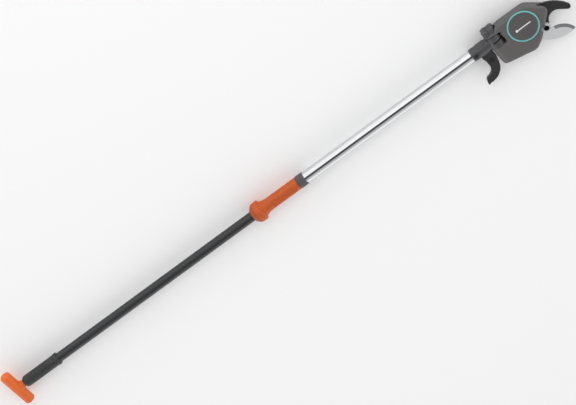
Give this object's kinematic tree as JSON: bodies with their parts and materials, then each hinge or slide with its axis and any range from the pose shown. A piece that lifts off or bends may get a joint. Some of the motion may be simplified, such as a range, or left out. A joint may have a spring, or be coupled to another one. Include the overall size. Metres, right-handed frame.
{
  "type": "telescopic tree lopper",
  "caption": "Telescopic tree lopper: geared bypass blade and hook jaw on a tilting head, branch hook, two-part pole, pull handle and sliding grip.",
  "frame": {"origin": "centre of the footprint, on the surface that the tool lies on", "axes": "+X up the pole to the cutting head, +Y to the side of the lock knob, +Z out of the head's round cover"},
  "size_m": [1.5766, 0.1396, 0.05],
  "materials": {
    "satin_aluminium": "satin anodised, drawn along its length",
    "socket_plastic": "fine moulded grain",
    "black_screw": "blackened",
    "black_plastic": "fine moulded grain",
    "screw_steel": "zinc plated",
    "black_nylon": "glass filled",
    "collar_plastic": "fine moulded grain",
    "white_acetal": "natural acetal",
    "pin_steel": "turned",
    "dark_tube": "fine powder coat",
    "grip_rubber": "soft moulded",
    "handle_orange": "fine moulded grain",
    "braided_cord": "braided polyester",
    "grip_orange": "fine moulded grain",
    "housing_plastic": "fine spark-eroded grain",
    "cover_plastic": "fine spark-eroded grain",
    "teal_plastic": "satin",
    "pale_plastic": "satin",
    "plate_steel": "punched",
    "spring_steel": "blued strip",
    "jaw_coated": "non-stick coat",
    "pivot_steel": "turned and plated",
    "knob_plastic": "fine moulded grain",
    "cap_plastic": "satin",
    "gear_steel": "sintered",
    "blade_steel": "ground",
    "bush_brass": "sintered bronze"
  },
  "bodies": {
    "pole": {"upper_tube": "satin_aluminium", "head_socket": "socket_plastic", "socket_screw": "black_screw", "branch_hook": "black_plastic", "hook_screw": "black_screw", "tube_collet": "black_nylon", "cord_rollers": "white_acetal", "roller_pins": "pin_steel", "friction_washers": "pin_steel"},
    "collar": {"clamp_collar": "collar_plastic"},
    "lower_pole": {"lower_tube": "dark_tube", "end_grip": "grip_rubber", "end_bush": "black_nylon", "guide_plug": "black_nylon"},
    "pull_handle": {"t_handle": "handle_orange", "cord_ferrule": "pin_steel", "pull_cord_lower": "braided_cord"},
    "sliding_grip": {"slide_grip": "grip_orange", "glide_bushes": "white_acetal", "cord_carriage": "black_nylon", "carriage_screw": "screw_steel", "pull_cord_upper": "braided_cord"},
    "head": {"front_shell": "housing_plastic", "rear_shell": "housing_plastic", "gear_cover": "cover_plastic", "cover_ring": "teal_plastic", "index_bar": "pale_plastic", "bearing_plate": "plate_steel", "drum_axle": "pin_steel", "idler_axle": "pin_steel", "tilt_pin": "pin_steel", "drum_spring": "spring_steel", "pull_cord_head": "braided_cord", "housing_screws": "screw_steel", "hook_jaw": "jaw_coated", "pivot_bolt": "pivot_steel", "pivot_nut": "screw_steel"},
    "lock_knob": {"tilt_knob": "knob_plastic", "tilt_screw": "pin_steel", "knob_cap": "cap_plastic"},
    "drum": {"cord_drum": "white_acetal", "drive_pinion": "gear_steel", "cord_winding": "braided_cord"},
    "idler": {"idler_gear": "gear_steel"},
    "blade": {"cutting_blade": "blade_steel", "pivot_bush": "bush_brass"}
  },
  "joints": [
    {"name": "collar_twist", "type": "hinge", "parent": "pole", "child": "collar", "pos_m": [0.07181, 0.02148, 0.025], "axis": [1, 0, 0], "range_deg": [0, 90]},
    {"name": "tube_telescope", "type": "slide", "parent": "pole", "child": "lower_pole", "axis": [-1, 0, 0], "range_m": [0, 0.36]},
    {"name": "handle_pull", "type": "slide", "parent": "lower_pole", "child": "pull_handle", "axis": [-1, 0, 0], "range_m": [0, 0.3], "stiffness_N_per_m": 30, "springref_m": -0.15},
    {"name": "grip_slide", "type": "slide", "parent": "lower_pole", "child": "sliding_grip", "axis": [-1, 0, 0], "range_m": [0, 0.3]},
    {"name": "head_tilt", "type": "hinge", "parent": "pole", "child": "head", "pos_m": [0.60981, 0.02148, 0.025], "axis": [0, -1, 0], "range_deg": [-100, 100]},
    {"name": "lock_turn", "type": "hinge", "parent": "head", "child": "lock_knob", "pos_m": [0.60981, 0.04317, 0.025], "axis": [0, 1, 0], "range_deg": [0, 180]},
    {"name": "drum_spin", "type": "hinge", "parent": "head", "child": "drum", "pos_m": [0.67931, 0.01348, 0.017], "axis": [0, 0, 1], "range_deg": [0, 720]},
    {"name": "idler_spin", "type": "hinge", "parent": "head", "child": "idler", "pos_m": [0.69583, -0.00393, 0.027], "axis": [0, 0, 1], "range_deg": [-240, 0]},
    {"name": "blade_close", "type": "hinge", "parent": "head", "child": "blade", "pos_m": [0.71649, -0.0257, 0.031], "axis": [0, 0, 1], "range_deg": [0, 60]}
  ],
  "couplings": [
    {"joint": "grip_slide", "follows": "handle_pull", "ratio": 1},
    {"joint": "drum_spin", "follows": "handle_pull", "rad_per_m": 41.888},
    {"joint": "idler_spin", "follows": "handle_pull", "rad_per_m": -13.963},
    {"joint": "blade_close", "follows": "handle_pull", "rad_per_m": 3.4907}
  ]
}
